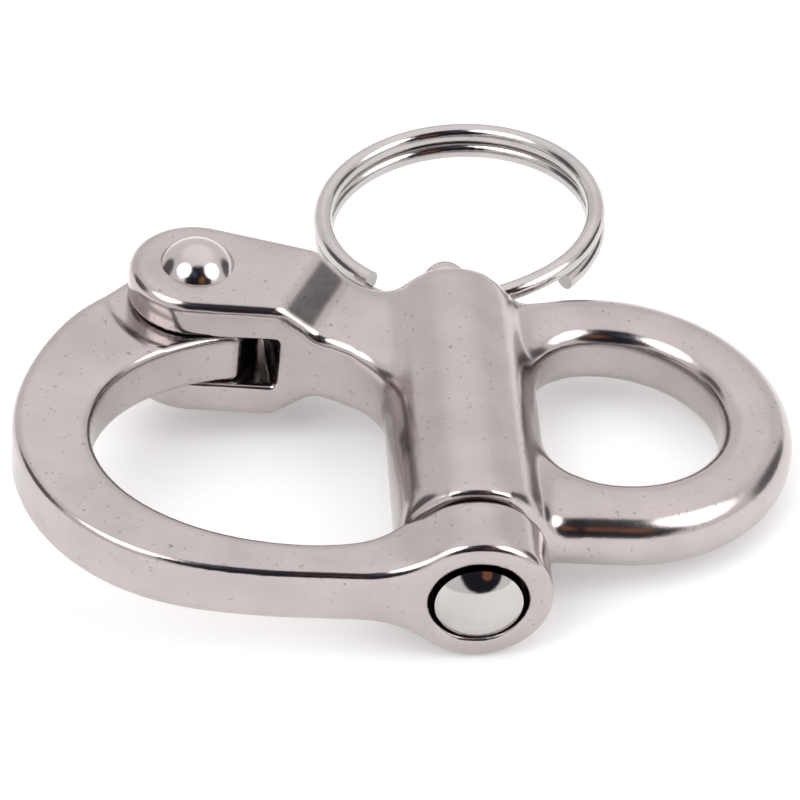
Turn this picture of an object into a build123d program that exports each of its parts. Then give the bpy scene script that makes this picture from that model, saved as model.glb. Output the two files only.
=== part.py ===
from build123d import *
import math
import os

# Fixed-eye snap shackle in cast stainless steel, millimetres, +Z up, eye towards +X.
# Everything is laid out about the barrel: its axis is the Y axis, and the gate is at -Y.
# The last step moves the whole shackle so that the origin is the centre of the eye.

# Barrel: the tube that holds the spring plunger
BARREL_R = 5.15
BARREL_NEAR_Y = -14.9
BARREL_FAR_Y = 9.6
BARREL_NEAR_EDGE_R = 0.5
BARREL_FAR_EDGE_R = 1.6
BORE_R = 2.95
FAR_WALL = 3.3

# Eye: a flat ring with rounded edges, its hole cut straight beside the barrel
EYE_X = 10.35
EYE_Y = -2.2
EYE_HOLE_R = 7.6
EYE_HOLE_FLAT_X = 5.35
EYE_HOLE_CORNER_R = 4.6
EYE_RIM_X = 10.25
EYE_RIM_Y = -2.05
EYE_RIM_R = 12.6
EYE_HALF_T = 2.4
EYE_OUTER_EDGE_R = 2.2
EYE_INNER_EDGE_R = 1.5

# Fork: two cheeks round the rivet, falling to an arm that bends into the barrel
PIVOT_X = -18.0
PIVOT_Y = 8.3
CHEEK_R = 4.7
FORK_HALF_H = 4.9
FORK_EDGE_R = 0.9
ARM_HALF_H = 2.8
ARM_BEND_R = 6.3
ARM_BEND_START = (-11.2, 3.35)
ARM_FAR = (-5.5, 9.55)
ARM_ROOT_X = -4.6
FALL_CORNER = (-12.2, 4.45)
FALL_LENGTH = 2.6
FALL_TURN = -24.6
FALL_BLEND_R = 1.7
SLOT_HALF_H = 2.06
SLOT_R = 5.3
POCKET_R = 3.1
POCKET_X = -15.3
POCKET_Y = 4.1

# Gate: the bow, with a tongue in the fork and a boss over the barrel's end
GATE_HALF_T = 2.15
TONGUE_HALF_T = 1.96
TONGUE_R = 4.7
SHOULDER_R = 6.3
BOSS_R = 4.9
BOSS_NEAR_Y = -19.95
BOSS_GAP = 0.25
BOSS_BLEND_R = 7.0
STRIP_LENGTH = 36
TOE = (-15.0, 3.8)
GATE_EDGE_R = 0.7
GATE_HOLE_R = 3.22

# Rivet that the gate turns on
RIVET_R = 1.5
RIVET_CLEARANCE = 0.05
RIVET_HEAD_R = 2.55
RIVET_HEAD_H = 1.5

# Plunger: a domed head, a stem through the far wall, and a cross-hole for the ring
HEAD_R = 2.86
HEAD_NEAR_Y = -20.0
HEAD_DOME_H = 1.1
HEAD_SHOULDER_Y = -4.4
STEM_R = 1.7
STEM_CLEARANCE = 0.08
STEM_TIP_Y = 14.9
CROSS_HOLE_R = 1.17
CROSS_HOLE_Y = 10.8

# Spring round the stem
SPRING_WIRE_R = 0.35
SPRING_MEAN_R = 2.33
SPRING_TURNS = 6

# Split ring: almost two turns of wire, laid level when the shackle rests on its rivet
RING_WIRE_R = 0.68
RING_MEAN_R = 9.95
RING_HALF_RISE = 0.73
RING_TURN = -8.0
RING_ASIDE = -9.0
RING_LOWER_END = -36
RING_RISE_START = 230
RING_RISE_END = 310
RING_UPPER_END = 596
RING_STEP = 20

PIVOT = (PIVOT_X, PIVOT_Y)


def along_y(radius, y0, y1):
    """A round bar on the barrel's axis from y0 to y1."""
    return Pos(0, (y0 + y1) / 2, 0) * Rot(90, 0, 0) * Cylinder(radius, y1 - y0)


def slab(sketch, half_height):
    """A plan outline made solid, the same height above and below the middle plane."""
    return Pos(0, 0, -half_height) * extrude(sketch, amount=2 * half_height)


def rim_edges(solid, half_height):
    """The edges that lie wholly in the top and bottom faces of a slab."""
    picked = ShapeList()
    for edge in solid.edges():
        box = edge.bounding_box()
        if box.min.Z > half_height - 0.01 or box.max.Z < 0.01 - half_height:
            picked.append(edge)
    return picked


def dome_radius(base_r, height):
    """The radius of the ball whose cap has this base and height."""
    return (base_r ** 2 + height ** 2) / (2 * height)


def on_circle(centre, radius, degrees):
    turn = math.radians(degrees)
    return (centre[0] + radius * math.cos(turn), centre[1] + radius * math.sin(turn))


def eye_hole_outline():
    """A circle cut off by a straight side next to the barrel, with soft corners."""
    disc = Pos(EYE_X, EYE_Y) * Circle(EYE_HOLE_R)
    keep = Pos(EYE_HOLE_FLAT_X + EYE_HOLE_R, EYE_Y) * Rectangle(2 * EYE_HOLE_R, 4 * EYE_HOLE_R)
    outline = disc & keep
    return fillet(outline.vertices(), EYE_HOLE_CORNER_R)


def eye():
    rim = Pos(EYE_RIM_X, EYE_RIM_Y) * CenterArc((0, 0), EYE_RIM_R, 0, 360)
    root = Line((0, EYE_RIM_Y - EYE_RIM_R), (0, BARREL_FAR_Y - BARREL_FAR_EDGE_R / 2))
    plate = slab(make_hull([rim, root]), EYE_HALF_T)
    plate = fillet(rim_edges(plate, EYE_HALF_T), EYE_OUTER_EDGE_R)
    hole = eye_hole_outline()
    plate = plate - slab(hole, 2 * EYE_HALF_T)
    reach = hole.bounding_box()
    mouth = ShapeList()
    for edge in rim_edges(plate, EYE_HALF_T):
        box = edge.bounding_box()
        if box.min.X > reach.min.X - 0.01 and box.max.X < reach.max.X + 0.01:
            mouth.append(edge)
    return fillet(mouth, EYE_INNER_EDGE_R)


def tangent_point(start, centre, radius, side):
    """Where a straight line from start touches a circle, on its far (1) or near (-1) side."""
    dx = start[0] - centre[0]
    dy = start[1] - centre[1]
    turn = math.atan2(dy, dx) + side * math.acos(radius / math.hypot(dx, dy))
    return on_circle(centre, radius, math.degrees(turn))


def arm_outline():
    """Plan of the whole arm: round end, straight sides, one bend into the barrel."""
    near_touch = tangent_point(ARM_BEND_START, PIVOT, CHEEK_R, -1)
    far_touch = tangent_point(ARM_FAR, PIVOT, CHEEK_R, 1)
    near = Line(near_touch, ARM_BEND_START)
    bend_end = (ARM_ROOT_X, ARM_BEND_START[1] - ARM_BEND_R)
    bend = TangentArc(ARM_BEND_START, bend_end, tangent=near % 1)
    root_y = BARREL_FAR_Y - BARREL_FAR_EDGE_R / 2
    sides = Polyline(bend_end, (0, bend_end[1]), (0, root_y), ARM_FAR, far_touch)
    end = ThreePointArc(far_touch, (PIVOT_X - CHEEK_R, PIVOT_Y), near_touch)
    return make_face([near, bend, sides, end])


def fall_profile():
    """The arm seen along the foot of the cheeks: full height, a slope, then the arm's height."""
    reach = 4 * CHEEK_R
    upper = [(-reach, FORK_HALF_H), (0, FORK_HALF_H), (FALL_LENGTH, ARM_HALF_H), (reach, ARM_HALF_H)]
    lower = [(x, -z) for x, z in reversed(upper)]
    outline = make_face(Polyline(*upper, *lower, close=True))
    corners = [v for v in outline.vertices() if abs(v.X) < reach - 1]
    outline = fillet(corners, FALL_BLEND_R)
    prism = extrude(Plane.XZ * outline, amount=reach, both=True)
    return Pos(*FALL_CORNER, 0) * Rot(0, 0, FALL_TURN) * prism


def fork_rims(solid):
    """The long edges round the top and bottom of the fork and arm."""
    foot = Vector(0, 1, 0).rotate(Axis.Z, FALL_TURN)
    picked = ShapeList()
    for edge in solid.edges():
        along = edge % 0.5
        box = edge.bounding_box()
        across = abs(along.dot(foot)) > 0.999 and edge.geom_type == GeomType.LINE
        if abs(along.Z) < 0.99 and not across and box.min.X < ARM_ROOT_X / 2:
            picked.append(edge)
    return picked


def fork_slot():
    """Room for the tongue: a round seat about the rivet and a pocket beside it."""
    seat = Pos(*PIVOT) * CenterArc((0, 0), SLOT_R, 0, 360)
    pocket = Pos(POCKET_X, POCKET_Y) * CenterArc((0, 0), POCKET_R, 0, 360)
    return slab(make_hull([seat, pocket]), SLOT_HALF_H)


def fork():
    arm = slab(arm_outline(), 2 * FORK_HALF_H) & fall_profile()
    arm = fillet(fork_rims(arm), FORK_EDGE_R)
    shank_hole = Pos(*PIVOT, 0) * Cylinder(RIVET_R, 4 * FORK_HALF_H)
    return arm - fork_slot() - shank_hole


def shackle_body():
    barrel = along_y(BARREL_R, BARREL_NEAR_Y, BARREL_FAR_Y)
    ends = barrel.edges().filter_by(GeomType.CIRCLE).sort_by(Axis.Y)
    barrel = fillet(ends[0], BARREL_NEAR_EDGE_R)
    ends = barrel.edges().filter_by(GeomType.CIRCLE).sort_by(Axis.Y)
    barrel = fillet(ends[-1], BARREL_FAR_EDGE_R)
    cast = barrel + eye() + fork()
    bore = along_y(BORE_R, BARREL_NEAR_Y - 1, BARREL_FAR_Y - FAR_WALL)
    stem_hole = along_y(STEM_R + STEM_CLEARANCE, BARREL_NEAR_Y, BARREL_FAR_Y + 1)
    return cast - bore - stem_hole


def gate_outline():
    """Plan of the gate: the boss's square end, the bow, and the round tongue with its toe."""
    boss_far_y = BARREL_NEAR_Y - BOSS_GAP
    inner_start = (-4.7, boss_far_y)
    flat_end = (-11.0, BOSS_NEAR_Y)
    tongue_start = on_circle(PIVOT, TONGUE_R, 143)
    tongue_side = on_circle(PIVOT, TONGUE_R, 60)
    tongue_end = on_circle(PIVOT, TONGUE_R, -22)
    boss = Polyline(inner_start, (BOSS_R, boss_far_y), (BOSS_R, BOSS_NEAR_Y), flat_end)
    outer = Spline(flat_end, (-15.5, -19.75), (-20.9, -18.65), (-26.74, -14.58), (-29.98, -7.85),
                   (-29.62, -0.86), (-26.04, 6.4), tongue_start, tangents=[(-1, 0), (0.6, 0.8)])
    tongue = ThreePointArc(tongue_start, tongue_side, tongue_end)
    side = Line(tongue_end, TOE)
    inner = Spline(TOE, (-19.18, 2.54), (-23.42, -1.1), (-25.02, -6.24), (-23.5, -11.1), (-18.56, -15.2),
                   (-12.61, -16.73), (-8.4, -16.55), inner_start)
    return make_face([boss, outer, tongue, side, inner])


def gate_profile():
    """The gate seen from the front: a level strip that swells into the round boss."""
    strip = Pos(-STRIP_LENGTH / 2, 0) * Rectangle(STRIP_LENGTH, 2 * GATE_HALF_T)
    face = strip + Circle(BOSS_R)
    meet_x = -math.sqrt(BOSS_R ** 2 - GATE_HALF_T ** 2)
    corners = [v for v in face.vertices() if abs(v.X - meet_x) < 0.01]
    face = fillet(corners, BOSS_BLEND_R)
    return extrude(Plane.XZ * face, amount=STRIP_LENGTH, both=True)


def gate_rims(solid, inside):
    """The long edges round the gate: those of the bow's inside, or all the others."""
    picked = ShapeList()
    for edge in solid.edges():
        box = edge.bounding_box()
        across = edge.geom_type == GeomType.LINE and box.size.Y + box.size.Z > 0.01
        on_inside = box.min.Y > BOSS_NEAR_Y + 1 and box.max.Y < TOE[1] + 1
        if on_inside == inside and not across:
            picked.append(edge)
    return picked


def tongue_relief():
    """What is taken off above and below the tongue, out to the curved shoulder."""
    depth = GATE_HALF_T - TONGUE_HALF_T + 1
    disc = Cylinder(SHOULDER_R, depth)
    rise = TONGUE_HALF_T + depth / 2
    return Pos(*PIVOT, rise) * disc + Pos(*PIVOT, -rise) * disc


def gate():
    bow = slab(gate_outline(), 2 * BOSS_R) & gate_profile()
    bow = fillet(gate_rims(bow, False), GATE_EDGE_R)
    bow = fillet(gate_rims(bow, True), GATE_EDGE_R)
    pivot_hole = Pos(*PIVOT, 0) * Cylinder(RIVET_R + RIVET_CLEARANCE, 4 * GATE_HALF_T)
    plunger_hole = along_y(GATE_HOLE_R, BOSS_NEAR_Y - 1, BARREL_NEAR_Y + 1)
    return bow - tongue_relief() - pivot_hole - plunger_hole


def pivot_rivet():
    """A shank with the same domed head at both ends, turned about its own axis."""
    top = (0, FORK_HALF_H + RIVET_HEAD_H)
    rim = (RIVET_HEAD_R, FORK_HALF_H)
    dome = RadiusArc(rim, top, -dome_radius(RIVET_HEAD_R, RIVET_HEAD_H))
    side = Polyline((0, 0), (RIVET_R, 0), (RIVET_R, FORK_HALF_H), rim)
    half = make_face([side, dome, Line(top, (0, 0))])
    upper = revolve(Plane.XZ * half, Axis.Z)
    return Pos(*PIVOT, 0) * (upper + mirror(upper, about=Plane.XY))


def plunger():
    tip_y = STEM_TIP_Y - STEM_R
    nose = (0, HEAD_NEAR_Y - HEAD_DOME_H)
    dome = RadiusArc(nose, (HEAD_R, HEAD_NEAR_Y), -dome_radius(HEAD_R, HEAD_DOME_H))
    side = Polyline((HEAD_R, HEAD_NEAR_Y), (HEAD_R, HEAD_SHOULDER_Y), (STEM_R, HEAD_SHOULDER_Y),
                    (STEM_R, tip_y))
    tip = RadiusArc((STEM_R, tip_y), (0, STEM_TIP_Y), -STEM_R)
    axis = Line((0, STEM_TIP_Y), nose)
    bar = revolve(make_face([dome, side, tip, axis]), Axis.Y)
    cross = Pos(0, CROSS_HOLE_Y, 0) * Rot(0, 90 + RING_TURN, 0) * Cylinder(CROSS_HOLE_R, 4 * STEM_R)
    return bar - cross


def plunger_spring():
    first_y = HEAD_SHOULDER_Y + SPRING_WIRE_R
    length = BARREL_FAR_Y - FAR_WALL - SPRING_WIRE_R - first_y
    line = Helix(length / SPRING_TURNS, length, SPRING_MEAN_R)
    wire = sweep(Plane(line @ 0, z_dir=line % 0) * Circle(SPRING_WIRE_R), line)
    return Pos(0, first_y, 0) * Rot(-90, 0, 0) * wire


def ring_height(degrees):
    """Lower turn, one smooth climb past the plunger's stem, then the upper turn."""
    t = (degrees - RING_RISE_START) / (RING_RISE_END - RING_RISE_START)
    t = min(max(t, 0), 1)
    return RING_HALF_RISE * (2 * t * t * (3 - 2 * t) - 1)


def split_ring():
    points = []
    for degrees in range(RING_LOWER_END, RING_UPPER_END, RING_STEP):
        x, y = on_circle((0, RING_MEAN_R), RING_MEAN_R, degrees)
        points.append((x, y, ring_height(degrees)))
    x, y = on_circle((0, RING_MEAN_R), RING_MEAN_R, RING_UPPER_END)
    points.append((x, y, RING_HALF_RISE))
    line = Spline(points)
    wire = sweep(Plane(line @ 0, z_dir=line % 0) * Circle(RING_WIRE_R), line)
    return Pos(0, CROSS_HOLE_Y, 0) * Rot(0, RING_TURN, 0) * Rot(0, 0, RING_ASIDE) * wire


def main():
    os.makedirs("parts", exist_ok=True)
    to_origin = Pos(-EYE_X, -EYE_Y, 0)
    pieces = {
        "shackle_body": shackle_body,
        "gate": gate,
        "pivot_rivet": pivot_rivet,
        "plunger": plunger,
        "plunger_spring": plunger_spring,
        "split_ring": split_ring,
    }
    for name, make in pieces.items():
        export_step(to_origin * make(), f"parts/{name}.step")


main()
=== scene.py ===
import math

import bpy
import numpy as np
from mathutils import Matrix, Vector


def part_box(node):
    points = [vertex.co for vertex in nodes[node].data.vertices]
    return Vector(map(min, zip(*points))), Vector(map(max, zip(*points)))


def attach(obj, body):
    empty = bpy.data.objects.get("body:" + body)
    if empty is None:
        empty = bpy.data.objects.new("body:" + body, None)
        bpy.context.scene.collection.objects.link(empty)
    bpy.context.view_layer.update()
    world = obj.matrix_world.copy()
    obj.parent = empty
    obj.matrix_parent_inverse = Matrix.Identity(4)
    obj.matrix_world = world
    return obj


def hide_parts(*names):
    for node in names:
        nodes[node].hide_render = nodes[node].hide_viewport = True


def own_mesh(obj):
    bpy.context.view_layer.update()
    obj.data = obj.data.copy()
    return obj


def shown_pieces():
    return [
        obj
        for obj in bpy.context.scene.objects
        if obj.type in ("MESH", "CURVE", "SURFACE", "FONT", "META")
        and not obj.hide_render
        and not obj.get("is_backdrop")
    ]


MM = 0.001

# Camera, in the frame's millimetres and in degrees
FOCAL_MM = 155.25
SENSOR_MM = 36.0
NEAR_CLIP = 10.0
AIM = (-14.31, 2.35, 0.0)
AIM_DISTANCE = 236.0
PITCH = 39.5
YAW = -7.7
ROLL = 7.0

# The shackle rests on its lower rivet head, its gate's boss and its eye
FLOOR_SLOPE_X = 0.111
FLOOR_SLOPE_Y = -0.024
FLOOR_REACH = 3000.0

# The floor is lit from below a little, as a light table is
FLOOR_WHITE = 0.9
FLOOR_ROUGHNESS = 0.8
FLOOR_GLOW = 0.22

# Castings: the spacing of their points, and how many rounds of smoothing soften them
VOXEL = 0.18
SOFTENING = 0.5
BODY_ROUNDS = 10
GATE_ROUNDS = 8

# Where the barrel's sides meet the arm and the eye, measured from its axis, and their blending
JOIN_AT = 4.6
JOIN_REACH = 2.6
JOIN_HEIGHT = 3.2
JOIN_RISE = 2.6
BORE_KEEP = 3.4
JOIN_BLENDING = 0.9
JOIN_ROUNDS = 120
LEAST_WEIGHT = 0.01

# Steel: its patterns, in waves to the metre
CLOUD_SCALE = 260.0
PORE_SCALE = 2600.0
WAVE_SCALE = 420.0
GRAIN_SCALE = 3200.0

# Where in its noise each pattern starts and is complete, and how dark it makes the steel
CLOUD_SPAN = (0.3, 0.7)
CLOUD_TINT = 0.86
PORE_SPAN = (0.66, 0.76)
PORE_TINT = 0.35
ROUGHNESS_SPREAD = (0.8, 1.25)

# The relief of the waves and of the grain
WAVE_DEPTH = 0.2
GRAIN_DEPTH = 0.05
GRAIN_STRENGTH = 0.06

# Sockets of a Mix node that mixes colours
MIX_FROM = 6
MIX_TO = 7
MIX_RESULT = 2

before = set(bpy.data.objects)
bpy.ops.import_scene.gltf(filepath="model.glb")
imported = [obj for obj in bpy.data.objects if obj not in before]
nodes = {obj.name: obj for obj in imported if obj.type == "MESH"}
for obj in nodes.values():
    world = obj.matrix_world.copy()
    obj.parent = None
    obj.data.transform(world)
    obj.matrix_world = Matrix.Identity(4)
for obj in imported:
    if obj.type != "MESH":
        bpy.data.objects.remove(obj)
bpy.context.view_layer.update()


# ---------------------------------------------------------------- materials

def new_material(name):
    material = bpy.data.materials.new(name)
    material.use_nodes = True
    tree = material.node_tree
    tree.nodes.clear()
    output = tree.nodes.new("ShaderNodeOutputMaterial")
    shader = tree.nodes.new("ShaderNodeBsdfPrincipled")
    tree.links.new(shader.outputs["BSDF"], output.inputs["Surface"])
    return material, shader


def scaled(color, share):
    return tuple(c * share for c in color)


def mixed(tree, factor, color, other):
    """The socket of a colour that turns from the one in a socket to a fixed one as factor rises."""
    mix = tree.nodes.new("ShaderNodeMix")
    mix.data_type = "RGBA"
    mix.inputs[MIX_TO].default_value = (*other, 1)
    tree.links.new(factor, mix.inputs["Factor"])
    tree.links.new(color, mix.inputs[MIX_FROM])
    return mix.outputs[MIX_RESULT]


def relief(tree, height, strength, depth):
    bump = tree.nodes.new("ShaderNodeBump")
    bump.inputs["Strength"].default_value = strength
    bump.inputs["Distance"].default_value = depth * MM
    tree.links.new(height.outputs["Fac"], bump.inputs["Height"])
    return bump


def steel(name, color, roughness, pores, waves):
    """Stainless steel: a tint that drifts slightly, pores, and the waves that polishing leaves."""
    material, shader = new_material(name)
    tree = material.node_tree
    link = tree.links.new
    place = tree.nodes.new("ShaderNodeTexCoord")
    shader.inputs["Metallic"].default_value = 1.0

    def noise(scale, detail):
        node = tree.nodes.new("ShaderNodeTexNoise")
        node.inputs["Scale"].default_value = scale
        node.inputs["Detail"].default_value = detail
        link(place.outputs["Object"], node.inputs["Vector"])
        return node

    cloud = noise(CLOUD_SCALE, 4.0)
    tint = tree.nodes.new("ShaderNodeValToRGB")
    darker, full = tint.color_ramp.elements
    darker.position, full.position = CLOUD_SPAN
    darker.color = (*scaled(color, CLOUD_TINT), 1)
    full.color = (*color, 1)
    link(cloud.outputs["Fac"], tint.inputs["Fac"])

    speck = noise(PORE_SCALE, 2.0)
    pore = tree.nodes.new("ShaderNodeMapRange")
    pore.inputs["From Min"].default_value = PORE_SPAN[0]
    pore.inputs["From Max"].default_value = PORE_SPAN[1]
    link(speck.outputs["Fac"], pore.inputs["Value"])
    amount = tree.nodes.new("ShaderNodeMath")
    amount.operation = "MULTIPLY"
    amount.inputs[1].default_value = pores
    link(pore.outputs["Result"], amount.inputs[0])
    pitted = mixed(tree, amount.outputs["Value"], tint.outputs["Color"], scaled(color, PORE_TINT))
    link(pitted, shader.inputs["Base Color"])

    rough = tree.nodes.new("ShaderNodeMapRange")
    rough.inputs["To Min"].default_value = roughness * ROUGHNESS_SPREAD[0]
    rough.inputs["To Max"].default_value = roughness * ROUGHNESS_SPREAD[1]
    link(cloud.outputs["Fac"], rough.inputs["Value"])
    link(rough.outputs["Result"], shader.inputs["Roughness"])

    polished = relief(tree, noise(WAVE_SCALE, 3.0), waves, WAVE_DEPTH)
    grained = relief(tree, noise(GRAIN_SCALE, 3.0), GRAIN_STRENGTH, GRAIN_DEPTH)
    link(polished.outputs["Normal"], grained.inputs["Normal"])
    link(grained.outputs["Normal"], shader.inputs["Normal"])
    return material


CAST = steel("cast_steel", (0.50, 0.455, 0.45), 0.17, 0.6, 0.12)
GATE = steel("gate_steel", (0.50, 0.455, 0.45), 0.16, 0.6, 0.12)
RIVET = steel("rivet_steel", (0.55, 0.51, 0.50), 0.12, 0.3, 0.1)
PLUNGER = steel("plunger_steel", (0.56, 0.53, 0.525), 0.07, 0.2, 0.05)
WIRE = steel("ring_wire", (0.55, 0.52, 0.515), 0.12, 0.2, 0.05)
SPRING = steel("spring_wire", (0.5, 0.49, 0.48), 0.25, 0.2, 0.05)


# ------------------------------------------------------------------- pieces

def add_object(name, mesh):
    obj = bpy.data.objects.new(name, mesh)
    bpy.context.scene.collection.objects.link(obj)
    return obj


def points(obj):
    return np.array([v.co for v in obj.data.vertices])


def use_material(obj, material):
    obj.data.materials.clear()
    obj.data.materials.append(material)


def smooth_shaded(obj):
    for polygon in obj.data.polygons:
        polygon.use_smooth = True


def bake(obj):
    """Turns an object's modifiers into its mesh."""
    bpy.context.view_layer.update()
    graph = bpy.context.evaluated_depsgraph_get()
    done = bpy.data.meshes.new_from_object(obj.evaluated_get(graph))
    obj.modifiers.clear()
    obj.data = done


def near_join(co):
    """How close each point of the body is to where the barrel grows into the arm and the eye."""
    low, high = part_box("plunger")
    axis_x = (low.x + high.x) / 2
    across = np.abs(co[:, 0] - axis_x)
    band = np.clip(1.0 - np.abs(across - JOIN_AT * MM) / (JOIN_REACH * MM), 0, 1)
    height = np.clip(1.0 - np.abs(np.abs(co[:, 2]) - JOIN_HEIGHT * MM) / (JOIN_RISE * MM), 0, 1)
    inside = np.hypot(across, co[:, 2]) < BORE_KEEP * MM
    weight = np.sqrt(band * height)
    weight[inside] = 0
    return weight


def cast_copy(node, name, rounds):
    """A copy of a CAD node with its corners softened, as a polished casting has."""
    obj = add_object(name, nodes[node].data.copy())
    remesh = obj.modifiers.new("even", "REMESH")
    remesh.mode = "VOXEL"
    remesh.voxel_size = VOXEL * MM
    smooth = obj.modifiers.new("soft", "SMOOTH")
    smooth.factor = SOFTENING
    smooth.iterations = rounds
    bake(obj)
    smooth_shaded(obj)
    return obj


def blend_joins(obj):
    """Hollows the junctions between the barrel and what grows from its sides."""
    group = obj.vertex_groups.new(name="join")
    for index, weight in enumerate(near_join(points(obj))):
        if weight > LEAST_WEIGHT:
            group.add([index], float(weight), "REPLACE")
    blend = obj.modifiers.new("join", "SMOOTH")
    blend.factor = JOIN_BLENDING
    blend.iterations = JOIN_ROUNDS
    blend.vertex_group = "join"
    bake(obj)
    smooth_shaded(obj)


body = cast_copy("shackle_body", "body_casting", BODY_ROUNDS)
blend_joins(body)
use_material(body, CAST)
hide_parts("shackle_body")
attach(body, "casting")

gate = cast_copy("gate", "gate_casting", GATE_ROUNDS)
use_material(gate, GATE)
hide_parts("gate")
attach(gate, "gate")

spring = add_object("bolt_spring", nodes["plunger_spring"].data.copy())
use_material(spring, SPRING)
smooth_shaded(spring)
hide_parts("plunger_spring")
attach(spring, "spring")
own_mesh(spring)

for node, material in (("pivot_rivet", RIVET), ("plunger", PLUNGER), ("split_ring", WIRE)):
    use_material(nodes[node], material)


# ----------------------------------------------------------- floor and light

def camera_axes():
    pitch, yaw, roll = (math.radians(a) for a in (PITCH, YAW, ROLL))
    forward = Vector((-math.sin(yaw) * math.cos(pitch), math.cos(yaw) * math.cos(pitch),
                      -math.sin(pitch)))
    right = Vector((math.cos(yaw), math.sin(yaw), 0))
    up = right.cross(forward)
    turned_right = right * math.cos(roll) + up * math.sin(roll)
    turned_up = up * math.cos(roll) - right * math.sin(roll)
    return turned_right, turned_up, forward


def add_camera():
    right, up, forward = camera_axes()
    data = bpy.data.cameras.new("camera")
    data.lens = FOCAL_MM
    data.sensor_width = SENSOR_MM
    data.clip_start = NEAR_CLIP * MM
    camera = add_object("camera", data)
    place = Vector(AIM) * MM - forward * AIM_DISTANCE * MM
    turn = Matrix((right, up, -forward)).transposed()
    camera.matrix_world = Matrix.Translation(place) @ turn.to_4x4()
    bpy.context.scene.camera = camera


def add_floor():
    slope = np.array((-FLOOR_SLOPE_X, -FLOOR_SLOPE_Y, 1))
    lowest = min(float((points(obj) @ slope).min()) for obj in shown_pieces())
    material, shader = new_material("floor")
    shader.inputs["Base Color"].default_value = (FLOOR_WHITE, FLOOR_WHITE, FLOOR_WHITE, 1)
    shader.inputs["Roughness"].default_value = FLOOR_ROUGHNESS
    shader.inputs["Emission Color"].default_value = (1, 1, 1, 1)
    shader.inputs["Emission Strength"].default_value = FLOOR_GLOW
    reach = FLOOR_REACH * MM
    corners = []
    for x, y in ((-reach, -reach), (reach, -reach), (reach, reach), (-reach, reach)):
        corners.append((x, y, FLOOR_SLOPE_X * x + FLOOR_SLOPE_Y * y + lowest))
    mesh = bpy.data.meshes.new("floor")
    mesh.from_pydata(corners, [], [(0, 1, 2, 3)])
    floor = add_object("floor", mesh)
    use_material(floor, material)
    floor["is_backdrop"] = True


def toward(azimuth, elevation):
    """A direction in the frame: azimuth 0 is the side the camera stands on, -Y, and 90 is +X."""
    turn, rise = math.radians(azimuth), math.radians(elevation)
    return (math.sin(turn) * math.cos(rise), -math.cos(turn) * math.cos(rise), math.sin(rise))


# The studio seen from the shackle: azimuth, elevation, radius, softness in degrees, then its light
STUDIO = (
    # The dark room seen through the tent's open front, with a warm and a blue glow in it
    (4, 38, 33, 6, (0.02, 0.02, 0.028)),
    (16, 33, 4, 7, (0.30, 0.12, 0.06)),
    (-10, 47, 3, 6, (0.08, 0.10, 0.20)),
    # A lamp on each side
    (-58, 46, 17, 6, (3.4, 3.4, 3.4)),
    (62, 44, 17, 6, (3.4, 3.4, 3.4)),
    # A dim gap low on each side
    (-105, 12, 13, 10, (0.16, 0.15, 0.16)),
    (108, 12, 13, 10, (0.16, 0.15, 0.16)),
    # The tent's brighter back, high up
    (178, 70, 24, 22, (1.25, 1.22, 1.21)),
)
TENT = (0.98, 0.96, 0.96)


def add_world():
    """A white tent with two lamps, and the dark room seen through its open front."""
    world = bpy.data.worlds.new("world")
    world.use_nodes = True
    tree = world.node_tree
    place = tree.nodes.new("ShaderNodeTexCoord")
    tent = tree.nodes.new("ShaderNodeRGB")
    tent.outputs[0].default_value = (*TENT, 1)
    color = tent.outputs[0]
    for azimuth, elevation, radius, soft, light in STUDIO:
        dot = tree.nodes.new("ShaderNodeVectorMath")
        dot.operation = "DOT_PRODUCT"
        dot.inputs[1].default_value = toward(azimuth, elevation)
        tree.links.new(place.outputs["Generated"], dot.inputs[0])
        edge = tree.nodes.new("ShaderNodeMapRange")
        edge.interpolation_type = "SMOOTHSTEP"
        edge.inputs["From Min"].default_value = math.cos(math.radians(radius + soft))
        edge.inputs["From Max"].default_value = math.cos(math.radians(radius))
        tree.links.new(dot.outputs["Value"], edge.inputs["Value"])
        color = mixed(tree, edge.outputs["Result"], color, light)
    tree.links.new(color, tree.nodes["Background"].inputs["Color"])
    bpy.context.scene.world = world


add_camera()
add_floor()
add_world()
bpy.context.scene.view_settings.view_transform = "Standard"
